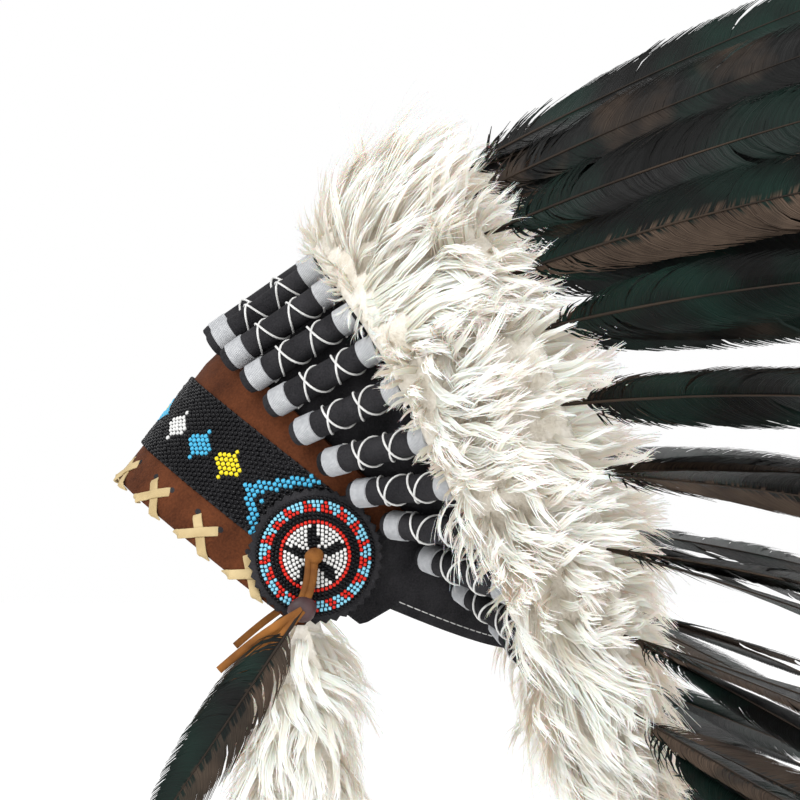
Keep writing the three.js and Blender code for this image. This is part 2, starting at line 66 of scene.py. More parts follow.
# One row a quill: place, rise, lean, sweep, turn and feather length share
STATIONS = np.array([
    (0.0, 35, 0, 15, 0, 1.0),
    (0.079, 35.5, 9, 17, 18, 0.98),
    (0.15, 34, 15, 19, 20, 1.0),
    (0.215, 31.5, 20, 21, 22, 0.97),
    (0.276, 28.5, 25, 23, 22, 0.98),
    (0.337, 23.5, 31, 24, 20, 0.94),
    (0.398, 14.5, 37, 22, 18, 0.95),
    (0.46, 6, 42, 20, 16, 0.92),
    (0.528, -5, 45, 20, 18, 0.93),
    (0.602, -20, 47, 12, 30, 0.9),
    (0.684, -35, 48, 0, 46, 0.9),
    (0.782, -51, 45, -4, 60, 0.86),
])
PLACE, RISE, LEAN, SWEEP, TURN, LENGTH = range(6)
FELT_EDGE = np.array([(0.0, 1.0), (0.604, 1.0), (0.625, 0.35), (0.89, -0.5), (1.0, -0.55)])

# Colours, linear
BLACK, BLUE, RED = (0.004, 0.004, 0.005), (0.06, 0.36, 0.56), (0.55, 0.02, 0.012)
WHITE, YELLOW, SKY = (0.62, 0.62, 0.61), (0.68, 0.56, 0.02), (0.2, 0.5, 0.64)


def unit(v):
    return v / np.linalg.norm(v)


def circle(sides):
    return np.arange(sides) * 2 * math.pi / sides


def arc_table():
    """Angle and arc share along half the head ellipse."""
    angle = np.linspace(0, math.pi, 3001)
    points = np.stack([-HEAD_LONG * np.cos(angle), HEAD_WIDE * np.sin(angle)], 1)
    run = np.concatenate([[0], np.cumsum(np.linalg.norm(np.diff(points, axis=0), axis=1))])
    return angle, run / run[-1], run[-1]


ARC_ANGLE, ARC_SHARE, HALF_GIRTH = arc_table()
SUEDE_GIRTH = HALF_GIRTH + math.pi * SUEDE_OUT


def heading(rise, lean, side):
    pitch, out = math.radians(rise) + TILT, math.radians(lean)
    return np.array([
        math.cos(out) * math.cos(pitch), side * math.sin(out), math.cos(out) * math.sin(pitch)])


class Spot:
    """The wall's frame at a signed place on the ring, in the ring's own axes."""

    def __init__(self, place):
        self.side = -1 if place < 0 else 1
        self.share = min(abs(place), 1)
        angle = np.interp(self.share, ARC_SHARE, ARC_ANGLE)
        self.foot = np.array([-HEAD_LONG * math.cos(angle), self.side * HEAD_WIDE * math.sin(angle), 0.0])
        self.out = unit(self.foot / np.array([HEAD_LONG ** 2, HEAD_WIDE ** 2, 1.0]))
        self.round = np.array([self.out[1], -self.out[0], 0.0])
        rise, lean = (np.interp(self.share, STATIONS[:, PLACE], STATIONS[:, c]) for c in (RISE, LEAN))
        self.flare = heading(rise, lean, self.side)
        self.face = unit(np.cross(self.flare, self.round))
        self.knee = self.foot + [0, 0, KNEE]
        outward, slope = self.flare @ self.out, self.face @ self.out
        wall = SUEDE_OUT + GAP
        self.start = 3.0
        if outward >= 0.15:
            near = (wall - wall * slope) / outward
            far = (wall - (wall + 2 * QUILL_R) * slope) / outward
            self.start = max(self.start, near + GAP, far + GAP)
        self.fur = self.start + QUILL_LONG - 2.0

    def wall(self, height, offset):
        if height < 0:
            return self.knee + self.out * offset + [0, 0, height]
        if height > 0:
            return self.knee + self.face * offset + self.flare * height
        return self.knee + (self.out + self.face) * offset / (1 + self.out @ self.face)


def to_row(points):
    """Ring axes in millimetres to the row frame in metres."""
    p = np.asarray(points, float)
    x = p[..., 0] * math.cos(TILT) + p[..., 2] * math.sin(TILT)
    z = -p[..., 0] * math.sin(TILT) + p[..., 2] * math.cos(TILT)
    return np.stack([x, p[..., 1], z], -1) * MM


# Node trees
class Sock:
    """A node's output that arithmetic can be done with."""

    def __init__(self, graph, socket):
        self.graph, self.socket = graph, socket

    def _math(self, operation, *values):
        return self.graph.node("ShaderNodeMath", dict(enumerate(values)), operation=operation)

    def __add__(self, other): return self._math("ADD", self, other)
    def __rsub__(self, other): return self._math("SUBTRACT", other, self)
    def __mul__(self, other): return self._math("MULTIPLY", self, other)
    def sine(self): return self._math("SINE", self)


class Graph:
    """A node tree under construction."""

    def __init__(self, tree):
        self.tree = tree

    def node(self, kind, inputs=None, output=0, **settings):
        made = self.tree.nodes.new(kind)
        for key, value in settings.items():
            setattr(made, key, value)
        for key, value in (inputs or {}).items():
            if isinstance(value, Sock):
                self.tree.links.new(value.socket, made.inputs[key])
            else:
                made.inputs[key].default_value = value
        return Sock(self, made.outputs[output]) if made.outputs else made

    def chance(self, low, high, seed):
        return self.node("FunctionNodeRandomValue", {2: low, 3: high, "Seed": seed}, output=1)

    def mark(self, name, output="Fac"):
        return self.node("ShaderNodeAttribute", attribute_name=name, output=output)

    def vector(self, operation, first, second):
        slot = 3 if operation == "SCALE" else 1
        return self.node("ShaderNodeVectorMath", {0: first, slot: second}, operation=operation)


def material(name, build, rough, shine=0.5, **values):
    """A principled material: build returns the inputs that vary."""
    made = bpy.data.materials.new(name)
    made.use_nodes = True
    graph = Graph(made.node_tree)
    surface = made.node_tree.nodes["Principled BSDF"]
    values = {"Roughness": rough, "Specular IOR Level": shine, **values}
    for key, value in values.items():
        surface.inputs[key.replace("_", " ")].default_value = value
    for key, value in build(graph).items():
        graph.tree.links.new(value.socket, surface.inputs[key])
    return made


def noise(graph, scale, detail=4.0):
    place = graph.node("ShaderNodeTexCoord", output="Object")
    return graph.node("ShaderNodeTexNoise", {"Vector": place, "Scale": scale, "Detail": detail})


def ramp(graph, factor, low, high, start=0.3, end=0.7):
    spread = graph.node("ShaderNodeMapRange", {0: factor, 1: start, 2: end})
    return graph.node("ShaderNodeMix", {0: spread, 6: (*low, 1), 7: (*high, 1)}, output=2,
                      data_type="RGBA")


def bump(graph, height, distance, strength=0.6):
    return graph.node("ShaderNodeBump", {"Height": height, "Distance": distance, "Strength": strength})


def nap(low, high, fine, distance):
    """Short pile: a mottled colour and a fine bump."""
    def build(graph):
        blotch = noise(graph, 60) * 0.6 + noise(graph, fine) * 0.4
        return {"Base Color": ramp(graph, blotch, low, high),
                "Normal": bump(graph, noise(graph, fine, 6.0), distance)}
    return build


def bead_glass(graph):
    return {"Base Color": graph.mark("tone", "Color")}


def thread(graph):
    ridge = (graph.mark("wind") * (2 * math.pi)).sine() * 0.5 + 0.5
    # Colour: painted shade, darker in the grooves between the turns, mixed with a random mottle of the
    # thread's own tone
    groove_shade_and_mottle = ridge * 0.45 + noise(graph, 400) * 0.55
    return {"Base Color": ramp(graph, groove_shade_and_mottle, (0.36, 0.37, 0.39), (0.62, 0.63, 0.64), 0.25, 0.75),
            "Normal": bump(graph, ridge, 0.0003, 0.9)}


def fur_white(graph):
    """Silky strands: streaks along a lock, darker and creamier towards its root, which is painted shade
    where the locks lie under others.
    """
    strand, along, tone = (graph.mark(name) for name in ("strand", "along", "tone"))
    lie = graph.node("ShaderNodeCombineXYZ", {0: strand * 26, 1: along * 1.6, 2: tone * 40})
    streak = graph.node("ShaderNodeTexNoise", {"Vector": lie, "Scale": 1.0, "Detail": 3.0})
    # along paints shade towards each lock's root; the streaks, tone and noise vary the fur's own colour
    root_shade_and_tone = streak * 0.3 + along * 0.4 + tone * 0.15 + noise(graph, 35) * 0.3
    return {"Base Color": ramp(graph, root_shade_and_tone, (0.6, 0.52, 0.39), (0.86, 0.84, 0.79), 0.25, 0.7)}


def vane_black(graph):
    """Black with a painted green sheen in patches, fine barb lines, and brown where tint says so."""
    tint = graph.mark("tint")
    line = graph.node("ShaderNodeTexNoise", {"W": graph.mark("lane"), "Scale": 2.2, "Detail": 2.0},
                      noise_dimensions="1D")
    # The green patches are a painted sheen on the black vane
    painted_sheen = noise(graph, 22, 2.0) * 0.78 + line * 0.22
    dark = ramp(graph, painted_sheen, (0.0022, 0.0023, 0.0022), (0.004, 0.019, 0.0135), 0.46, 0.68)
    brown = ramp(graph, noise(graph, 50) * 0.5 + line * 0.5,
                 (0.014, 0.009, 0.007), (0.1, 0.07, 0.05))
    share = graph.node("ShaderNodeMapRange", {0: tint + noise(graph, 30, 3.0) * 0.9, 1: 0.95, 2: 1.25})
    colour = graph.node("ShaderNodeMix", {0: share, 6: dark, 7: brown}, output=2, data_type="RGBA")
    return {"Base Color": colour, "Normal": bump(graph, line, 0.0006, 0.6),
            "Roughness": graph.node("ShaderNodeMapRange", {0: share, 3: 0.42, 4: 0.8})}


def plain(low, high, scale=80):
    return lambda graph: {"Base Color": ramp(graph, noise(graph, scale), low, high)}


SUEDE_MAT = material(
    "brown suede", nap((0.035, 0.01, 0.0035), (0.12, 0.036, 0.013), 900, 0.0004), 0.95, 0.15)
FELT_MAT = material(
    "black felt", nap((0.006, 0.006, 0.007), (0.036, 0.035, 0.038), 1300, 0.0006), 1.0, 0.1)
BEAD_MAT = material("seed beads", bead_glass, 0.18, 0.13)
THREAD_MAT = material("white thread", thread, 0.8, 0.3)
CORD_MAT = material("white cord", plain((0.5, 0.5, 0.49), (0.7, 0.7, 0.69), 300), 0.8)
LACE_MAT = material("cream lace", plain((0.34, 0.25, 0.12), (0.5, 0.39, 0.21)), 0.65, 0.2)
# The fur's faint cream emission is a painted glow that lifts the shade between locks
FUR_MAT = material("white fur", fur_white, 0.8, 0.15, Subsurface_Weight=0.4, Subsurface_Scale=0.01,
                   Emission_Color=(1, 0.95, 0.86, 1), Emission_Strength=0.06)
SKIN_MAT = material("fur base", nap((0.58, 0.53, 0.44), (0.82, 0.79, 0.73), 400, 0.003), 0.95)
VANE_MAT = material("black vane", vane_black, 0.5, 0.13)
SHAFT_MAT = material("feather shaft", plain((0.004, 0.0035, 0.003), (0.045, 0.03, 0.02), 12), 0.6, 0.15)
THONG_MAT = material("brown thong", plain((0.1, 0.034, 0.006), (0.27, 0.105, 0.02)), 0.75, 0.2)
KNOT_MAT = material("dark thong", plain((0.025, 0.01, 0.011), (0.06, 0.024, 0.026)), 0.6)


# Meshes
def weld(mesh):
    """Join points that lie on each other, turn what is closed outwards and keep corners crisp."""
    whole = bmesh.new()
    whole.from_mesh(mesh)
    bmesh.ops.remove_doubles(whole, verts=whole.verts, dist=1e-6)
    shut = [face for face in whole.faces if all(len(edge.link_faces) == 2 for edge in face.edges)]
    bmesh.ops.recalc_face_normals(whole, faces=shut)
    whole.to_mesh(mesh)
    whole.free()
    mesh.set_sharp_from_angle(angle=math.radians(75))
    return mesh


class Body:
    """Vertices and faces of one piece, with a material and attributes for each part."""

    def __init__(self):
        self.points, self.faces, self.slots, self.marks, self.count = [], [], [], {}, 0

    def add(self, points, faces, slot=0, **marks):
        points = np.asarray(points, float).reshape(-1, 3)
        self.points.append(points)
        self.faces.append(np.asarray(faces, int) + self.count)
        self.slots.append(np.full(len(faces), slot))
        for key in sorted(set(marks) | set(self.marks)):
            value = np.broadcast_to(np.asarray(marks.get(key, 0.0), float), len(points))
            self.marks.setdefault(key, [np.zeros(self.count)]).append(value)
        self.count += len(points)
        return self

    def grid(self, points, slot=0, closed=False, turned=False, **marks):
        """Quads over a grid of rows by columns. closed joins the last column to the first."""
        p = np.asarray(points, float)
        rows, cols = p.shape[:2]
        i, j = np.meshgrid(np.arange(rows - 1), np.arange(cols if closed else cols - 1), indexing="ij")
        k = (j + 1) % cols
        quads = np.stack([i * cols + j, i * cols + k, (i + 1) * cols + k, (i + 1) * cols + j], -1)
        quads = quads.reshape(-1, 4)
        return self.add(p, quads[:, ::-1] if turned else quads, slot,
                        **{key: np.asarray(v).reshape(-1) for key, v in marks.items()})

    def mesh(self, name, sealed=True):
        """The finished mesh. sealed welds it, which a skin that fur still grows on has to wait for."""
        made = bpy.data.meshes.new(name)
        faces = [face for part in self.faces for face in part.tolist()]
        made.from_pydata(np.concatenate(self.points).tolist(), [], faces)
        made.polygons.foreach_set("material_index", np.concatenate(self.slots).astype(np.int32))
        made.polygons.foreach_set("use_smooth", np.ones(len(made.polygons), bool))
        for key, values in self.marks.items():
            layer = made.attributes.new(key, "FLOAT", "POINT")
            layer.data.foreach_set("value", np.concatenate(values).astype(np.float32))
        made.update()
        return weld(made) if sealed else made


def show(name, data):
    made = bpy.data.objects.new(name, data)
    bpy.context.scene.collection.objects.link(made)
    return made


def piece(name, shape, materials, node):
    """A finished piece, from a Body or a mesh, that rides on the root and stands for a CAD node."""
    mesh = shape.mesh(name) if isinstance(shape, Body) else shape
    made = show(name, mesh)
    for one in materials:
        mesh.materials.append(one)
    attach(made, "root")
    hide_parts(node)
    return made


def tube_rings(path, radii, sides=8, flat=1.0, across=(0, 1, 0)):
    """Rings of points round a path, closed at both ends. flat squashes the second direction."""
    path = np.asarray(path, float)
    along = np.gradient(path, axis=0)
    along /= np.linalg.norm(along, axis=1)[:, None]
    across = np.broadcast_to(np.asarray(across, float), path.shape)
    wide = across - along * np.sum(across * along, 1)[:, None]
    wide /= np.linalg.norm(wide, axis=1)[:, None]
    deep = np.cross(along, wide)
    angle = circle(sides)
    radii = np.broadcast_to(np.asarray(radii, float), len(path))
    ring = (wide[:, None] * np.cos(angle)[None, :, None]
            + deep[:, None] * (flat * np.sin(angle))[None, :, None])
    rings = path[:, None] + ring * radii[:, None, None]
    ends = np.repeat(rings[[0, -1]].mean(1, keepdims=True), sides, axis=1)
    return np.concatenate([ends[:1], rings, ends[1:]])


# Geometry Nodes
def new_tree(name, inputs):
    tree = bpy.data.node_groups.new(name, "GeometryNodeTree")
    tree.interface.new_socket("Geometry", in_out="INPUT", socket_type="NodeSocketGeometry")
    tree.interface.new_socket("Geometry", in_out="OUTPUT", socket_type="NodeSocketGeometry")
    for label, kind in inputs:
        tree.interface.new_socket(label, in_out="INPUT", socket_type=kind)
    graph = Graph(tree)
    start = tree.nodes.new("NodeGroupInput")
    return graph, {s.name: Sock(graph, s) for s in start.outputs if s.name}


def named(graph, name, kind="FLOAT_VECTOR"):
    return graph.node("GeometryNodeInputNamedAttribute", {"Name": name}, data_type=kind)


def close_tree(graph, geometry, paint):
    real = graph.node("GeometryNodeRealizeInstances", {"Geometry": geometry})
    done = graph.node("GeometryNodeSetMaterial", {"Geometry": real, "Material": paint})
    graph.node("NodeGroupOutput", {"Geometry": done})
    return graph.tree


def bead_tree():
    """A bead on every point, its hole axis along the wall."""
    graph, given = new_tree("place beads", [
        ("Bead", "NodeSocketObject"), ("Material", "NodeSocketMaterial"), ("Size", "NodeSocketFloat"),
        ("Seed", "NodeSocketInt")])
    turn = graph.node("FunctionNodeAlignRotationToVector", {"Vector": named(graph, "facing")}, axis="Z")
    bead = graph.node("GeometryNodeObjectInfo", {"Object": given["Bead"]}, output="Geometry")
    placed = graph.node("GeometryNodeInstanceOnPoints", {
        "Points": given["Geometry"], "Instance": bead, "Rotation": turn,
        "Scale": graph.chance(0.9, 1.05, given["Seed"]) * given["Size"]})
    return close_tree(graph, placed, given["Material"])


def fur_tree():
    """Locks scattered over a skin: laid along its flow, with slow waves, flat side out."""
    graph, given = new_tree("scatter fur", [
        ("Locks", "NodeSocketCollection"), ("Material", "NodeSocketMaterial"),
        ("Density", "NodeSocketFloat"), ("Length", "NodeSocketFloat"),
        ("Wave", "NodeSocketFloat"), ("Stray", "NodeSocketFloat"), ("Seed", "NodeSocketInt")])
    spread = graph.node("GeometryNodeDistributePointsOnFaces", {
        "Mesh": given["Geometry"], "Seed": given["Seed"],
        "Density": given["Density"] * (1.9 - named(graph, "grow", "FLOAT"))})
    place = graph.node("GeometryNodeInputPosition")
    wave = graph.node("ShaderNodeTexNoise", {"Vector": place, "Scale": 30.0, "Detail": 1.0}, output="Color")
    wave = graph.vector("SCALE", graph.vector("SUBTRACT", wave, (0.5, 0.5, 0.5)), given["Wave"])
    wander = graph.node("FunctionNodeRandomValue", {
        0: (-1, -1, -1), 1: (1, 1, 1), "Seed": given["Seed"]}, data_type="FLOAT_VECTOR")
    lie = graph.vector("ADD", named(graph, "flow"), graph.vector("SCALE", wander, given["Stray"]))
    lie = graph.vector("ADD", lie, wave)
    turn = graph.node("FunctionNodeAlignRotationToVector", {"Vector": lie}, axis="Z")
    turn = graph.node("FunctionNodeAlignRotationToVector", {
        "Rotation": turn, "Vector": Sock(graph, spread.socket.node.outputs["Normal"])},
        axis="Y", pivot_axis="Z")
    size = graph.chance(0.7, 1.1, given["Seed"] + 2) * given["Length"] * named(graph, "grow", "FLOAT")
    locks = graph.node("GeometryNodeCollectionInfo", {
        "Collection": given["Locks"], "Separate Children": True, "Reset Children": True})
    placed = graph.node("GeometryNodeInstanceOnPoints", {
        "Points": spread, "Instance": locks, "Pick Instance": True, "Rotation": turn, "Scale": size})
    placed = graph.node("GeometryNodeStoreNamedAttribute", {
        "Geometry": placed, "Name": "tone", "Value": graph.chance(0.0, 1.0, given["Seed"] + 3)},
        domain="INSTANCE")
    return close_tree(graph, placed, given["Material"])


def grow(mesh, tree, **values):
    """The mesh that a node tree makes from another."""
    holder = show("holder", mesh)
    modifier = holder.modifiers.new("tree", "NODES")
    modifier.node_group = tree
    for item in tree.interface.items_tree:
        if item.item_type == "SOCKET" and item.in_out == "INPUT" and item.name in values:
            modifier[item.identifier] = values[item.name]
    holder.update_tag()
    bpy.context.view_layer.update()
    graph = bpy.context.evaluated_depsgraph_get()
    made = bpy.data.meshes.new_from_object(holder.evaluated_get(graph))
    bpy.data.objects.remove(holder)
    return made


BEADS = bead_tree()
FUR = fur_tree()


def ring_bead():
    """A round bead with a dimple at each end of its hole."""
    sides, profile = 6, [(0, 0.55), (0.75, 0.8), (1.0, 0.0), (0.75, -0.8), (0, -0.55)]
    angle = circle(sides)
    rings = [[(y * 0.9, r * math.cos(a), r * math.sin(a)) for a in angle] for r, y in profile]
    body = Body().grid(np.array(rings) * BEAD / 2 * MM, closed=True)
    return bpy.data.objects.new("bead", body.mesh("bead"))


BEAD_SHAPE = ring_bead()


def bead_field(name, centres, facings, tones, size=1.0):
    """Beads at the centres, each with its colour and its hole axis along the wall."""
    cloud = bpy.data.meshes.new(name)
    cloud.from_pydata(np.asarray(centres).tolist(), [], [])
    layer = cloud.attributes.new("facing", "FLOAT_VECTOR", "POINT")
    layer.data.foreach_set("vector", np.asarray(facings, np.float32).ravel())
    layer = cloud.attributes.new("tone", "FLOAT_COLOR", "POINT")
    layer.data.foreach_set("color", np.asarray([(*t, 1) for t in tones], np.float32).ravel())
    return grow(cloud, BEADS, Bead=BEAD_SHAPE, Material=BEAD_MAT, Size=size, Seed=3)


# Band
def wall_mesh(reach, rows_at, columns, closed=False):
    """A smooth wall round the ring from rows of (height, outside, inside)."""
    body, loops = Body(), []
    for place in np.linspace(-reach, reach, columns, endpoint=not closed):
        spot = Spot(place)
        rows = rows_at(spot)
        loops.append([spot.wall(h, o) for h, o, _ in rows] + [spot.wall(h, i) for h, _, i in rows[::-1]])
    grid = to_row(loops)
    if closed:
        grid = np.concatenate([grid, grid[:1]])
    body.grid(grid, closed=True)
    if not closed:
        count = grid.shape[1]
        ends = [(i, count - 1 - i, count - 2 - i, i + 1) for i in range(count // 2 - 1)]
        body.add(grid[0], ends)
        body.add(grid[-1], [f[::-1] for f in ends])
    return body


def suede_rows(spot):
    """The band's section: a folded hem, the plain wall, and a lap over the ring's knee."""
    bottom = -(KNEE + SUEDE_DROP)
    ripple = 0.35 * math.sin(spot.share * 41 + spot.side)
    fold = np.linspace(0, math.pi / 2, 7)
    rows = [(bottom + 3 * (1 - math.cos(a)), SUEDE_OUT - 1 + 1.6 * math.sin(a),
             FELT + GAP + 1 - math.sin(a)) for a in fold]
    rows += [(bottom + h, SUEDE_OUT + o + ripple * o, FELT + GAP)
             for h, o in ((6, 0.3), (12, 0.1), (18, 0))]
    rows += [(h, SUEDE_OUT, FELT + GAP) for h in (-40, -25, -12, -6, -3)]
    rows += [(h, SUEDE_OUT, FELT + GAP + 0.6 * h / SUEDE_LAP) for h in (3, 6, SUEDE_LAP)]
    return rows


def cloth(made, reach, rows_at, held, *rests_on):
    """Works out points along a wall's outer face, where its flat size would be measured, and does nothing
    more with them.
    """
    face = to_row([[Spot(place).wall(h, out) for h, out, _ in rows_at(Spot(place))]
                   for place in np.linspace(-reach, reach, 240)])


def make_band():
    made = piece("brow_band_suede", wall_mesh(SUEDE_REACH, suede_rows, 180), [SUEDE_MAT],
                 "brow_band")
    cloth(made, SUEDE_REACH, suede_rows, "laid", "felt_ring_cloth")


# Motifs of the strip: diamonds by column, and lengths in millimetres from the brow
BROW_DIAMOND, BROW_HEART = (18, 8.6), (6.5, 3.4)
DIAMONDS, DIAMOND_HALF = ((16, WHITE), (26, BLUE), (35, YELLOW)), 3
ARROW_AT, ARROW_WIDE, ARROW_HEIGHT, ARROW_DOT, DOT_HALF = 92, 5.6, -3, (103.5, -4), 1.3


def row_height(row, column):
    """Height of a bead on the strip. Odd columns sit half a bead higher."""
    return (row - (STRIP_ROWS - 1) / 2 + 0.5 * (column % 2) - 0.25) * BEAD


def strip_tone(column, height, step):
    """Colour of a bead by its column from the brow, its height and the columns' step."""
    arc = abs(column) * step
    if arc / BROW_DIAMOND[0] + abs(height) / BROW_DIAMOND[1] <= 1:
        return YELLOW if arc / BROW_HEART[0] + abs(height) / BROW_HEART[1] <= 1 else BLUE
    for centre, tone in DIAMONDS:
        middle = (0.5 * (centre % 2) - 0.25 - 0.5) * BEAD
        along, across = abs(abs(column) - centre), abs(height - middle) / BEAD
        if along + across <= DIAMOND_HALF + 0.05 or along <= DIAMOND_HALF and across < 0.6:
            return tone
    reach, spread = (arc - ARROW_AT) * 0.95, abs(height - ARROW_HEIGHT)
    if reach > -1 and reach - ARROW_WIDE < spread <= reach + 1:
        return BLUE
    if abs(arc - ARROW_DOT[0]) < DOT_HALF and abs(height - ARROW_DOT[1]) < DOT_HALF:
        return BLUE
    return BLACK


def make_strip():
    half = STRIP_HIGH / 2

    def rows(_):
        return [(h - KNEE, STRIP_OUT - 0.9, SUEDE_OUT + GAP) for h in np.linspace(-half, half, 5)]

    piece("beaded_strip_base", wall_mesh(STRIP_REACH, rows, 120), [FELT_MAT],
          "beaded_strip")
    girth = HALF_GIRTH + math.pi * STRIP_OUT
    step = BEAD * STRIP_PACK / girth
    centres, facings, tones = [], [], []
    columns = int(STRIP_REACH / step)
    for column in range(-columns, columns + 1):
        spot = Spot(column * step)
        for row in range(STRIP_ROWS):
            height = row_height(row, column)
            jitter = random.normal(0, 0.09, 3)
            centres.append(to_row(spot.foot + spot.out * (STRIP_OUT - BEAD_SIT) + [0, 0, height] + jitter))
            facings.append(to_row(spot.out) / MM)
            tones.append(strip_tone(column, height, step * girth))
    mesh = bead_field("beaded_strip_beads", centres, facings, tones)
    piece("beaded_strip_beads", mesh, (), "beaded_strip")


def ribbon(body, path, normals, width, thick):
    """A flat strap whose upper side faces along normals, in the ring's axes."""
    path = np.asarray(path, float)
    along = np.gradient(path, axis=0)
    across = np.cross(normals, along)
    across /= np.linalg.norm(across, axis=1)[:, None]
    deep = np.cross(along, across)
    deep /= np.linalg.norm(deep, axis=1)[:, None]
    corners = ((1, 0.6), (0.9, 1), (-0.9, 1), (-1, 0.6), (-1, -0.6), (-0.9, -1), (0.9, -1), (1, -0.6))
    rings = np.stack([path + across * width / 2 * x + deep * thick / 2 * y for x, y in corners], 1)
    body.grid(to_row(rings), closed=True, turned=True)
    for end, turn in ((rings[0], 1), (rings[-1], -1)):
        body.add(to_row(end), [tuple(range(len(corners)))[::turn]])


def lace_path(side, centre, lean):
    """One lace of a cross: under the hem, up over the margin and into its hole."""
    path, normals = [], []
    for t in np.linspace(-LACE_UNDER, 1, 19):
        up, under = max(t, 0), max(-t, 0) / LACE_UNDER
        spot = Spot(side * (centre + lean * LACE_SPREAD * (2 * t - 1)) / SUEDE_GIRTH)
        hem = 0.9 * max(1 - up / 0.3, 0) ** 0.5
        over = (0.8 if lean > 0 else 0.0) * math.exp(-((up - 0.5) / 0.22) ** 2)
        sink = 1.1 * max(up - 0.9, 0) / 0.1
        turn = math.pi / 2 * under
        off = SUEDE_OUT + 0.5 + hem + over - sink - 3 * (1 - math.cos(turn))
        height = -SUEDE_DROP + (LACE_TOP + SUEDE_DROP) * up - 0.9 * math.sin(turn)
        path.append(spot.foot + spot.out * off + [0, 0, height])
        normals.append(spot.out * math.cos(turn) - np.array([0, 0, math.sin(turn)]))
    return path, normals


def lace_hole(side, centre, lean):
    """A dark oval of painted shade in the hole that a lace goes into."""
    spot = Spot(side * (centre + lean * LACE_SPREAD) / SUEDE_GIRTH)
    return [spot.foot + spot.out * (SUEDE_OUT + 0.15) + spot.round * 1.6 * math.cos(a)
            + np.array([0, 0, LACE_TOP + 0.8 + 1.3 * math.sin(a)])
            for a in np.linspace(0, 2 * math.pi, 10, endpoint=False)]


def make_laces():
    """Cream laces crossed over the lower margin and wrapped under the hem."""
    body, hole_shades = Body(), Body()
    for side, centre, lean in ((s, c, n) for s in (-1, 1) for c in LACE_PLACES for n in (-1, 1)):
        ribbon(body, *lace_path(side, centre, lean), LACE_WIDE, LACE_THICK)
        hole = lace_hole(side, centre, lean)
        hole_shades.add(to_row(hole), [tuple(range(len(hole)))])
    piece("edge_laces", body, [LACE_MAT], "brow_band")
    # Each hole is a dark oval of painted shade, in the black felt's colour
    piece("lace_holes", hole_shades, [FELT_MAT], "brow_band")


def felt_low(share):
    """Height of the felt ring's lower edge."""
    return -np.interp(share, FELT_EDGE[:, 0], FELT_EDGE[:, 1]) * FELT_DROP


def ring_rows(spot):
    low = felt_low(spot.share) - KNEE
    return [(low, FELT, 0)] + [(low + (-2 - low) * t, FELT, 0) for t in (0.03, 0.5, 0.97, 1)]


def collar_rows(spot):
    top = spot.fur - GAP
    return [(-1.7, FELT, 0)] + [(top * t, FELT, 0) for t in (0.0, 0.06, 0.2, 0.4, 0.6, 0.8, 0.97, 1)]


def make_felt():
    made = piece("felt_ring_cloth", wall_mesh(1, ring_rows, 240, closed=True),
                 [FELT_MAT], "felt_ring")
    cloth(made, 1, ring_rows, "hung", "brow_band_suede")
    made = piece("felt_collar_cloth", wall_mesh(COLLAR_REACH, collar_rows, 200),
                 [FELT_MAT], "felt_collar")
    cloth(made, COLLAR_REACH, collar_rows, "hung", "felt_ring_cloth")
    stitch = Body()
    for side in (-1, 1):
        for share in np.arange(STITCH_FROM, STITCH_TO, STITCH_STEP):
            path = []
            for step in np.linspace(share, share + STITCH_LONG, 5):
                spot = Spot(side * step)
                lift = 0.2 - 0.35 * abs((step - share) / (STITCH_LONG / 2) - 1) ** 4
                path.append(spot.foot + spot.out * (FELT + lift) + [0, 0, felt_low(step) + 4.5])
            stitch.grid(to_row(tube_rings(path, STITCH_R, 5, across=(0, 0, 1))), closed=True)
    piece("felt_stitches", stitch, [CORD_MAT], "felt_ring")


# Quills
ROLL_END = [(0, 0), (0, 4.6), (0.5, 5.4), (QUILL_TIP + 0.4, 5.8)]


def quill_axes(spot):
    """Foot of a quill, its length, and its two directions across."""
    root = spot.knee + spot.face * QUILL_OFF + spot.flare * spot.start
    return root, spot.flare, unit(np.cross(spot.face, spot.flare)), spot.face


def roll(body, axes, profile, slot, **marks):
    """A turned body from rows of (height, radius)."""
    root, up, wide, deep = axes
    angle = circle(ROLL_SIDES)
    rings = [[root + up * z + wide * r * math.cos(a) + deep * r * math.sin(a) for a in angle]
             for z, r in profile]
    marks = {key: np.repeat(value, ROLL_SIDES) for key, value in marks.items()}
    body.grid(to_row(rings), slot, closed=True, turned=True, **marks)


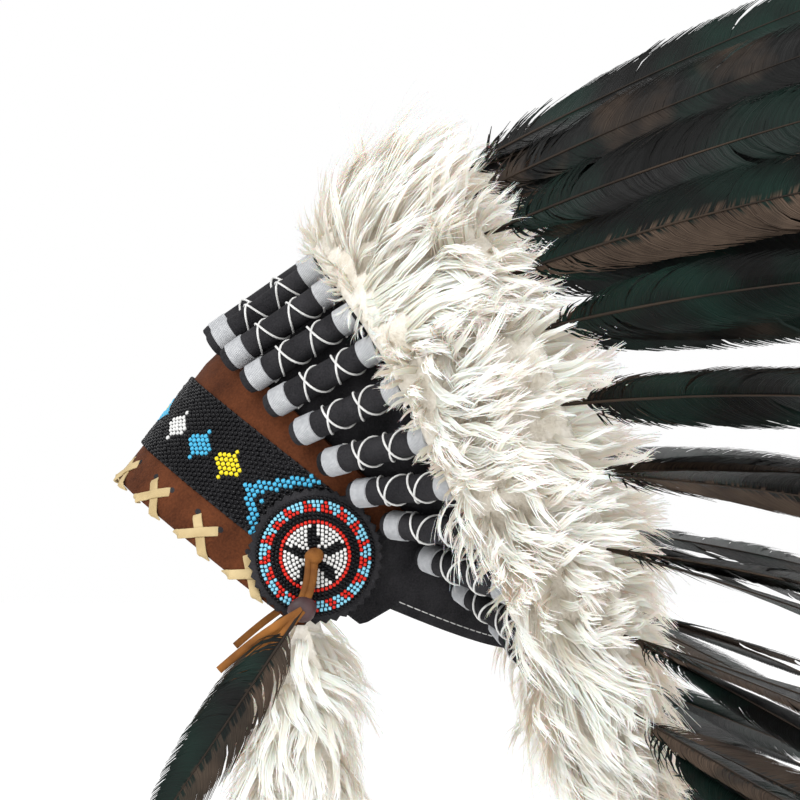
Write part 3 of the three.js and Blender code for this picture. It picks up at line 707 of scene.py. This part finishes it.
def quill_mesh(spot):
    """A felt roll with a thread wrap near each end and two cords that cross between them."""
    axes = quill_axes(spot)
    root, up, wide, deep = axes
    body = Body()
    top = QUILL_LONG
    roll(body, axes, ROLL_END + [(z, QUILL_BODY) for z in np.linspace(4, top - 4, 8)]
         + [(top - z, r) for z, r in ROLL_END[::-1]], 0)
    low_wrap, high_wrap = QUILL_TIP + 1.6, top - QUILL_TIP - WRAP
    for low in (low_wrap, high_wrap):
        z = np.linspace(low, low + WRAP, 2 * WRAP_TURNS + 1)
        wind = np.linspace(0, WRAP_TURNS, len(z))
        ridge = QUILL_R - 0.12 + 0.12 * np.cos(2 * math.pi * (wind + 0.5))
        ridge[0] = ridge[-1] = QUILL_BODY - 0.2
        z, wind = np.pad(z, 1, "edge"), np.pad(wind, 1, "edge")
        roll(body, axes, list(zip(z, np.pad(ridge, 1))), 1, wind=wind)
    low, high = low_wrap + WRAP - 0.5, high_wrap + 0.5
    first = 0.27 + random.uniform(-0.03, 0.03)
    t = np.linspace(0, 1, 50)
    for hand, lift in ((-1, 0.3), (1, 0.55)):
        angle = hand * 2 * math.pi * (t - first) / CROSS_CORD_TURN + math.pi / 2
        ring = wide * np.cos(angle)[:, None] + deep * np.sin(angle)[:, None]
        path = root + up * (low + (high - low) * t)[:, None] + (QUILL_BODY + lift) * ring
        body.grid(to_row(tube_rings(path, CROSS_CORD_R, 5, across=up)), 2, closed=True)
    return body


def make_quills():
    for index, side, label in ROSTER:
        spot = Spot(side * STATIONS[index, PLACE])
        piece(f"quill_roll_{label}", quill_mesh(spot),
              [FELT_MAT, THREAD_MAT, CORD_MAT], f"quill_{label}")


# Feathers
VANE = np.array([(0, 0), (0.05, 0.1), (0.09, 0.5), (0.16, 0.8), (0.26, 0.97), (0.45, 1), (0.62, 0.92),
                 (0.8, 0.72), (0.93, 0.42), (1, 0.1)])
TILT_2, STRAY_2 = math.radians(9), math.radians(5)
# One row a feather of a quill: length share, tilt, stray, width, barbs a side and fixed tints
BLADES = ((1.0, 0.0, 0.0, FEATHER_WIDE, 150, None), (0.86, TILT_2, STRAY_2, FEATHER_WIDE, 150, None),
          (0.93, TILT_2 * 0.5, -STRAY_2 * 0.7, 15.0, 80, (0.5, 0.8)))


def bezier(a, b, c, t):
    t = np.asarray(t)[..., None]
    return a * (1 - t) ** 2 + b * 2 * t * (1 - t) + c * t ** 2


def feather_body(body, ends, across, width, lay, barbs, tints, start=0.06, shaft=0.7, ragged=0.07,
                 twist=0.0, slot=0):
    """A vane of separate barbs on a tapering shaft. tints: how brown each half of the vane is."""
    a, b, c = ends
    span = np.linalg.norm(c - a)
    t = np.linspace(0, 1, 30)
    radii = shaft * (1 - 0.85 * t) + 0.05
    shaft_rings = tube_rings(bezier(a, b, c, t), radii, 5, across=across)
    body.grid(lay(shaft_rings), slot + 1, closed=True)
    s = np.linspace(0, 1, 5)[None, :]
    for hand, tint in zip((-1, 1), tints):
        root = np.linspace(start, 0.99, barbs)
        splits = np.cumsum(random.random(barbs) < 0.05)
        drift = random.normal(0, ragged, barbs + 1)[splits]
        loose = np.clip((start + 0.13 - root) / 0.12, 0, 1) * random.normal(0, 1, barbs)
        half = width / 2 * np.interp(root + 0.03, VANE[:, 0], VANE[:, 1])
        half = (half * random.uniform(0.96, 1.04, barbs))[:, None]
        base = bezier(a, b, c, root)
        along = bezier(a, b, c, root + 0.005) - bezier(a, b, c, root - 0.005)
        along /= np.linalg.norm(along, axis=1)[:, None]
        wide = across - along * (along @ across)[:, None]
        wide /= np.linalg.norm(wide, axis=1)[:, None]
        deep = np.cross(along, wide)
        by = (twist * (root - 0.3))[:, None]
        wide, deep = wide * np.cos(by) + deep * np.sin(by), deep * np.cos(by) - wide * np.sin(by)
        angle = np.maximum(np.radians(27 + 12 * root) + drift + 0.2 * loose, 0.36)
        out = half * np.sin(s * 1.3) / math.sin(1.3)
        forward = half * s * (0.3 + 0.7 * s) / np.tan(angle)[:, None]
        curl = 1.6 * s ** 2 * (1 + 1.3 * loose[:, None]) + half * drift[:, None] * s * 0.8
        line = (base[:, None] + hand * out[..., None] * wide[:, None] + forward[..., None] * along[:, None]
                + curl[..., None] * deep[:, None])
        breadth = span / barbs * np.array([0.62, 0.66, 0.66, 0.6, 0.32])
        full = 1 - 0.6 * np.abs(loose).clip(0, 1)
        edge = breadth[None, :, None] * along[:, None] * full[:, None, None]
        for i in range(barbs):
            grid = np.stack([line[i] - edge[i], line[i] + edge[i]], 1)
            body.grid(lay(grid), slot, lane=np.tile([i, i + 1.24], (5, 1)), tint=np.full((5, 2), tint))


def feather_ends(index, side, spot, share, tilt, stray):
    """Root, bend and tip of a feather. tilt leans it off the quill, stray turns it round the head."""
    row = STATIONS[index]
    half = FEATHER_LONG * row[LENGTH] * share / 2
    start = spot.fur + FUR_LONG - SOCKET
    root = spot.knee + spot.face * QUILL_OFF + spot.flare * start
    drift = spot.round * math.tan(stray) * side * (index > 0) - spot.face * math.tan(tilt)
    bend = root + (heading(row[RISE] - row[SWEEP] * 0.4, row[LEAN], side) + drift) * half
    tip = bend + (heading(row[RISE] - row[SWEEP], row[LEAN] * 0.96, side) + drift) * half
    return root, bend, tip


def turned(vector, axis, angle):
    return (vector * math.cos(angle) + np.cross(axis, vector) * math.sin(angle)
            + axis * (axis @ vector) * (1 - math.cos(angle)))


def make_feathers():
    """Each quill's two broad feathers, and a thin one between them."""
    for index, side, label in ROSTER:
        spot = Spot(side * STATIONS[index, PLACE])
        across = turned(spot.round, spot.flare, math.radians(-side * STATIONS[index, TURN]))
        body = Body()
        for share, tilt, stray, width, barbs, fixed in BLADES:
            tints = random.choice([0.1, 0.3, 0.5, 0.9], 2, p=(0.35, 0.3, 0.2, 0.15))
            feather_body(body, feather_ends(index, side, spot, share, tilt, stray), across, width, to_row,
                         barbs, fixed or tints, twist=random.normal(0, 0.45))
        piece(f"feather_vane_{label}", body, [VANE_MAT, SHAFT_MAT],
              f"feather_{label}")


# Fur
LOCK_KINDS, LOCK_HAIRS, LOCK_ROWS, TONGUE_WIDE, HAIR_WIDE = 5, 12, 6, 0.055, 0.0115


def lock_shapes():
    """Soft locks, one unit long: fine hairs that share a wave, over a narrow tongue."""
    group = bpy.data.collections.new("locks")
    for kind in range(LOCK_KINDS):
        body = Body()
        t = np.linspace(0, 1, LOCK_ROWS)
        sway, phase = random.normal(0, 0.12), random.uniform(0, 6.28)

        def middle(late):
            return np.column_stack([sway * t ** 2 + 0.06 * np.sin(6 * t + phase + late) * t,
                                    0.17 * np.sin(2.5 * t) - 0.06 * t, t])

        width = TONGUE_WIDE * np.interp(t, [0, 0.3, 0.6, 1], [0.8, 1, 0.7, 0.05])
        u = np.array([-1.0, 0, 1])
        tongue = middle(0)[:, None] + np.stack([
            width[:, None] * u, 0.4 * width[:, None] * (1 - u ** 2) - 0.012,
            np.zeros((LOCK_ROWS, 3))], -1)
        body.grid(tongue, strand=np.tile(u * 0.5 + 0.5, (LOCK_ROWS, 1)),
                  along=np.tile(t[:, None], (1, 3)), turned=True)
        for _ in range(LOCK_HAIRS):
            start, rise = random.normal(0, 0.045), random.uniform(0, 0.035)
            stray = random.normal(0, 0.045, 2)
            line = middle(random.normal(0, 0.5)) + np.column_stack([
                start * (1 - 0.5 * t) + stray[0] * t ** 2, rise + stray[1] * t ** 2, 0 * t])
            line[:, 2] *= random.uniform(0.75, 1.08)
            edge = np.outer(HAIR_WIDE * (1 - 0.75 * t), (1, 0, 0))
            body.grid(np.stack([line - edge, line + edge], 1),
                      strand=np.full((LOCK_ROWS, 2), random.random()),
                      along=np.tile(t[:, None], (1, 2)), turned=True)
        group.objects.link(bpy.data.objects.new(f"lock_{kind}", body.mesh(f"lock_{kind}")))
    return group


LOCKS = lock_shapes()
# Rows from the quills to the feathers: place, then depth shares out and in
FUR_SHAPE = np.array([(0, 0.5, 0.5), (0.05, 0.72, 0.66), (0.14, 0.86, 0.8), (0.3, 0.98, 0.95), (0.45, 1, 1),
                      (0.62, 0.93, 0.93), (0.78, 0.78, 0.8), (0.9, 0.58, 0.58), (0.97, 0.38, 0.38),
                      (1, 0.2, 0.2)])
# Rows of place and length share of the fur there
FUR_GROW = np.array([(0, 0.22), (0.06, 0.34), (0.18, 0.72), (0.32, 1), (0.7, 0.95), (0.88, 0.65), (1, 0.5)])
FUR_PARTS = (("right", 0.31, COLLAR_REACH), ("front", -0.31, 0.31), ("left", -COLLAR_REACH, -0.31))
SKIN_SHARE, SKIN_SHORT = 0.74, 12
COLLAR_FUR = {"density": 22500, "length": 0.046, "wave": 3.0, "stray": 0.16}
DROP_FUR = {"density": 42000, "length": 0.028, "wave": 1.8, "stray": 0.13}


def furry(name, body, flow, reach, node, seed, density, length, wave, stray):
    """A skin and the fur that grows on it, as two pieces. reach: length share at each point."""
    mesh = body.mesh(name + "_skin", sealed=False)
    layer = mesh.attributes.new("flow", "FLOAT_VECTOR", "POINT")
    layer.data.foreach_set("vector", np.asarray(flow, np.float32).ravel())
    layer = mesh.attributes.new("grow", "FLOAT", "POINT")
    layer.data.foreach_set("value", np.asarray(reach, np.float32).ravel())
    hair = grow(mesh.copy(), FUR, Locks=LOCKS, Material=FUR_MAT, Density=density, Length=length,
                Wave=wave, Stray=stray, Seed=seed)
    piece(name + "_skin", weld(mesh), [SKIN_MAT], node)
    piece(name + "_hair", hair, (), node)


def swell_at(share):
    """Depth share of the fur: full over each quill, less between two."""
    nearest = np.abs(STATIONS[:, PLACE] - share).min()
    return 1 - 0.2 * min(nearest / 0.035, 1)


def fur_section(place):
    """Points round the skin at a place on the ring, with the fur's flow and length share at each."""
    spot = Spot(place)
    fade = 1 - 0.45 * np.clip((abs(place) - 0.79) / 0.07, 0, 1)
    swell = swell_at(abs(place)) * fade
    base = spot.knee + spot.face * QUILL_OFF
    points, flow, reach = [], [], []
    for sign, deep, column in ((1, FUR_OUT, 1), (-1, FUR_IN, 2)):
        for row in FUR_SHAPE[::sign]:
            offset = sign * deep * row[column] * swell * SKIN_SHARE
            along = spot.fur + 1 + row[0] * (FUR_LONG - SKIN_SHORT)
            points.append(base + spot.flare * along + spot.face * offset)
            ahead = -0.1 + 1.1 * min(row[0] / 0.28, 1)
            flow.append(unit(spot.flare * ahead + spot.face * sign * (0.55 - 0.4 * row[0])))
            reach.append(np.interp(row[0], FUR_GROW[:, 0], FUR_GROW[:, 1]))
    return points, flow, reach


def make_fur():
    for number, (label, low, high) in enumerate(FUR_PARTS):
        sections = [fur_section(p) for p in np.linspace(low, high, 90)]
        body = Body().grid(to_row([s[0] for s in sections]), closed=True)
        for section, turn in ((sections[0], 1), (sections[-1], -1)):
            body.add(to_row(section[0]), [tuple(range(len(section[0])))[::turn]])
        sections += [sections[0], sections[-1]]
        flow = to_row([s[1] for s in sections]) / MM - np.array([0, 0, 0.15])
        furry(f"fur_{label}", body, flow, [s[2] for s in sections], "fur_collar", 11 + number, **COLLAR_FUR)


# Rosettes and what hangs from them
# The disc's rows: depth and radius share. RAYS are the star's, in degrees
DISC_ROWS = ((0, 0), (0, 1), (1.8, 1), (2.2, 0.97), (2.6, 0.86), (3.4, 0.6), (4.0, 0))
DISC_TEETH, DISC_BITE, DISC_THICK = 40, 1.6, 3.2
ROSETTE_BEAD, ROSETTE_RINGS, RING_OUT, RING_STEP = 0.8, 15, 25.3, 1.73
RAYS = (95, 23, 311, 239, 167)


def rosette_axes(side):
    """Centre of a rosette on the strip, and its directions out, level and up."""
    spot = Spot(side * ROSETTE_PLACE)
    centre = spot.foot + spot.out * (STRIP_OUT + GAP) + np.array([0, 0, -ROSETTE_DROP])
    out = to_row(spot.out) / MM
    level = unit(np.cross([0, 0, 1], out)) * -side
    high = unit(np.cross(out, level))
    return to_row(centre), out, level, high if high[2] > 0 else -high


def rosette_tone(ring, radius, angle):
    """Colour of a bead by its ring from the rim, its radius and its angle."""
    degrees = math.degrees(angle) % 360
    if ring in (0, 4, 5):
        return BLACK
    if ring < 4:
        share = (degrees / 360 * 17 + 0.1) % 1
        return SKY if share < (0.8, 0.56, 0.3)[ring - 1] else RED
    if ring == 6 or radius < 3.4:
        return RED
    ray = min(abs((degrees - a + 180) % 360 - 180) for a in RAYS)
    return BLACK if ray < 30 * (1 - radius / 13.6) + 3 else WHITE


def dome(radius):
    """Height of the rosette's face over its back."""
    return 2.0 + ROSETTE_DOME * math.sqrt(max(1 - (radius / 27.5) ** 2, 0)) * 0.75


def make_rosettes():
    for side, label in SIDES:
        centre, out, level, high = rosette_axes(side)
        teeth = np.arange(2 * DISC_TEETH)
        angle, edge = teeth * math.pi / DISC_TEETH, ROSETTE_R - DISC_BITE * (teeth % 2)
        rings = []
        for depth, share in DISC_ROWS:
            radius = edge * share if share > 0.9 else np.full(len(teeth), ROSETTE_R * share)
            rings.append(centre + MM * (
                np.outer(radius * np.cos(angle), level) + np.outer(radius * np.sin(angle), high)
                + out * min(depth, DISC_THICK)))
        body = Body().grid(rings, closed=True, turned=side > 0)
        piece(f"rosette_disc_{label}", body, [FELT_MAT],
              f"rosette_{label}")
        centres, facings, tones = [], [], []
        for ring in range(ROSETTE_RINGS):
            radius = RING_OUT - RING_STEP * ring
            count = max(3, round(2 * math.pi * radius / (BEAD * ROSETTE_BEAD)))
            for k in range(count):
                a = 2 * math.pi * (k + 0.5 * (ring % 2)) / count
                spread = radius + random.normal(0, 0.06)
                centres.append(centre + MM * (level * spread * math.cos(a) + high * spread * math.sin(a)
                                              + out * (dome(radius) + 0.3)))
                facings.append(unit(out + (level * math.cos(a) + high * math.sin(a)) * radius / 90))
                tones.append(rosette_tone(ring, radius, a))
        mesh = bead_field(f"rosette_beads_{label}", centres, facings, tones, ROSETTE_BEAD)
        piece(f"rosette_beads_{label}", mesh, (), f"rosette_{label}")


# Sizes of what hangs: radii, then (length, width) of the feather, then straps as (width, thickness)
KNOB_R, KNOT_R, DROP_FEATHER = 4.0, 5.9, (118, 26)
BOW, BOW_BACK, TAIL = (3.4, 2.0), (3.0, 1.8), (3.4, 1.6)
# Rows down a fur strip: place, width and depth share. Strips: name, how far back, length and width
DROP_SHAPE = np.array([(0, 0, 0), (0, 0.25, 0.25), (0.07, 0.4, 0.45), (0.16, 0.8, 0.75),
                       (0.3, 0.92, 0.92), (0.45, 1, 1), (0.6, 0.98, 1), (0.75, 0.95, 0.9),
                       (0.9, 0.75, 0.65), (1, 0.4, 0.3), (1, 0, 0)])
DROP_STRIPS = (("rear", 13.5, 144, 30), ("fore", -18.0, 130, 33))
DROP_DEEP, DROP_SIDES = 5.5, 14


def ball(body, centre, radius, slot, squash, knots):
    """A knotted ball: three swells that wind from pole to pole."""
    sides = 20
    angle = circle(sides)
    rings = []
    for tilt in np.linspace(0, math.pi, 12):
        swell = radius * (1 + knots * np.sin(3 * angle + 2.5 * tilt))
        rings.append(centre + np.stack([swell * math.sin(tilt) * np.cos(angle) * squash[0],
                                        swell * math.sin(tilt) * np.sin(angle) * squash[1],
                                        np.full(sides, radius * math.cos(tilt) * squash[2])], 1))
    body.grid(np.array(rings) * MM, slot, closed=True)


def strap(body, path, size, across):
    """A strap with rounded edges along a path."""
    width, thick = size
    body.grid(tube_rings(path, width / 2, 8, thick / width, across) * MM, closed=True)


def make_drops():
    """A knob on each rosette, a knot below it, two tails, a feather and two fur strips."""
    slope = math.radians(34)
    lie = np.array([-math.sin(slope), 0, -math.cos(slope)])
    for side, label in SIDES:
        centre, out, _, _ = rosette_axes(side)
        sideways = np.array([0.0, side, 0.0])
        knob = centre / MM + out * (2 + ROSETTE_DOME + GAP + 4.2)
        knot = knob + sideways * 2.2 + [-5, 0, -23]
        face = knot + sideways * 4.8
        body = Body()
        ball(body, knob - out * 0.8, KNOB_R, 0, (1, 1, 0.9), 0.12)
        bow = np.array([knob + (knot - knob) * t + np.array([1.6 * math.sin(t * 3.1), 0, 0])
                        for t in np.linspace(0, 1, 10)])
        strap(body, bow, BOW, (1, 0, 0))
        strap(body, bow - [2.6, 0, 0], BOW_BACK, (1, 0, 0))
        ball(body, knot, KNOT_R, 1, (1.05, 0.85, 0.95), 0.1)
        for turn in (-1, 1):
            end = face + [-33 + turn * 3, 0, -29 - turn * 3]
            path = np.array([face + (end - face) * t + np.array([0, 0, -1.8 * turn * math.sin(3.1 * t)])
                             for t in np.linspace(0, 1, 14)])
            strap(body, path, TAIL, (0.7, 0, -0.7))
        long, wide = DROP_FEATHER
        ends = [face] + [face + lie * reach + sideways * 3.2 for reach in (long / 2, long)]
        feather_body(body, ends, np.array([math.cos(slope), 0, -math.sin(slope)]), wide, lambda p: p * MM,
                     100, (0.1, 0.75) if side < 0 else (0.75, 0.1), 0.1, 0.8, 0.1, slot=2)
        piece(f"thong_{label}", body, [THONG_MAT, KNOT_MAT, VANE_MAT, SHAFT_MAT],
              f"thong_drop_{label}")
        make_fur_drop(label, side, knot)


def make_fur_drop(label, side, knot):
    """Two strips of fur that hang from a knot, one behind the other."""
    top = knot + np.array([0, -side * 4.25, -6.9])
    angle = circle(DROP_SIDES)
    for name, back, long, wide in DROP_STRIPS:
        rings, flow = [], []
        for share, width, depth in DROP_SHAPE:
            centre = top + [back * math.sin(share * 1.4), 0, -share * long]
            ring = np.stack([np.cos(angle) * width * wide / 2 * 0.62, np.sin(angle) * depth * DROP_DEEP,
                             0 * angle], 1)
            rings.append((centre + ring) * MM)
            out = 0.45 + 1.3 * max(0.25 - share, 0)
            flow.extend(np.stack([np.cos(angle) * out, np.sin(angle) * 0.7 * out, 0 * angle - 0.9], 1))
        body = Body().grid(rings, closed=True, turned=True)
        furry(f"fur_drop_{name}_{label}", body, flow, np.ones(len(flow)), f"fur_drop_{label}",
              31 + side, **DROP_FUR)


# Studio
FLOOR_HALF, FLOOR_LOW = 9, -0.42
AIM = Vector((0.05, 0, 0.05))
LAMPS = (("key", (-0.9, -1.3, 1.3), 0.9, 26), ("fill", (0.9, -1.4, 0.2), 1.2, 9),
         ("rim", (0.3, 1.2, 1.2), 1.0, 14))
# The photograph: pixels a millimetre, the ring's centre and the picture's size in pixels
PHOTO_SCALE, PHOTO_CENTRE, PHOTO_SIZE, CAMERA_AWAY, SENSOR = 2.3, (339, 549), 800, 2.1, 36


def make_studio():
    """A pale floor far below, a white world and three lamps."""
    floor = bpy.data.meshes.new("floor")
    floor.from_pydata([(x * FLOOR_HALF, y * FLOOR_HALF, FLOOR_LOW)
                       for x, y in ((-1, -1), (1, -1), (1, 1), (-1, 1))], [], [(0, 1, 2, 3)])
    floor.materials.append(material("pale floor", plain((0.93, 0.93, 0.93), (0.95, 0.95, 0.95), 2),
                                    0.9, Emission_Color=(1, 1, 1, 1), Emission_Strength=0.12))
    show("floor", floor)
    world = bpy.data.worlds.new("studio")
    bpy.context.scene.world = world
    world.use_nodes = True
    sky = world.node_tree.nodes["Background"].inputs
    sky["Color"].default_value, sky["Strength"].default_value = (1, 1, 1, 1), 1.0
    for name, place, size, power in LAMPS:
        lamp = bpy.data.lights.new(name, "AREA")
        lamp.size, lamp.energy = size, power
        made = show(name, lamp)
        made.location = place
        made.rotation_mode = "QUATERNION"
        made.rotation_quaternion = (AIM - Vector(place)).to_track_quat("-Z", "Y")


def make_camera():
    """The photograph's side view, level with the ring."""
    half = PHOTO_SIZE / 2
    lens = bpy.data.cameras.new("photo")
    lens.lens = SENSOR * (CAMERA_AWAY - HEAD_WIDE * MM) / (PHOTO_SIZE / PHOTO_SCALE * MM)
    lens.clip_start, lens.clip_end = 0.1, 50
    made = show("photo", lens)
    made.location = ((half - PHOTO_CENTRE[0]) / PHOTO_SCALE * MM, -CAMERA_AWAY,
                     (PHOTO_CENTRE[1] - half) / PHOTO_SCALE * MM)
    made.rotation_euler = (math.pi / 2, 0, 0)
    bpy.context.scene.camera = made
    bpy.context.scene.view_settings.view_transform = "Standard"


make_band()
make_strip()
make_laces()
make_felt()
make_quills()
make_feathers()
make_fur()
make_rosettes()
make_drops()
make_studio()
make_camera()
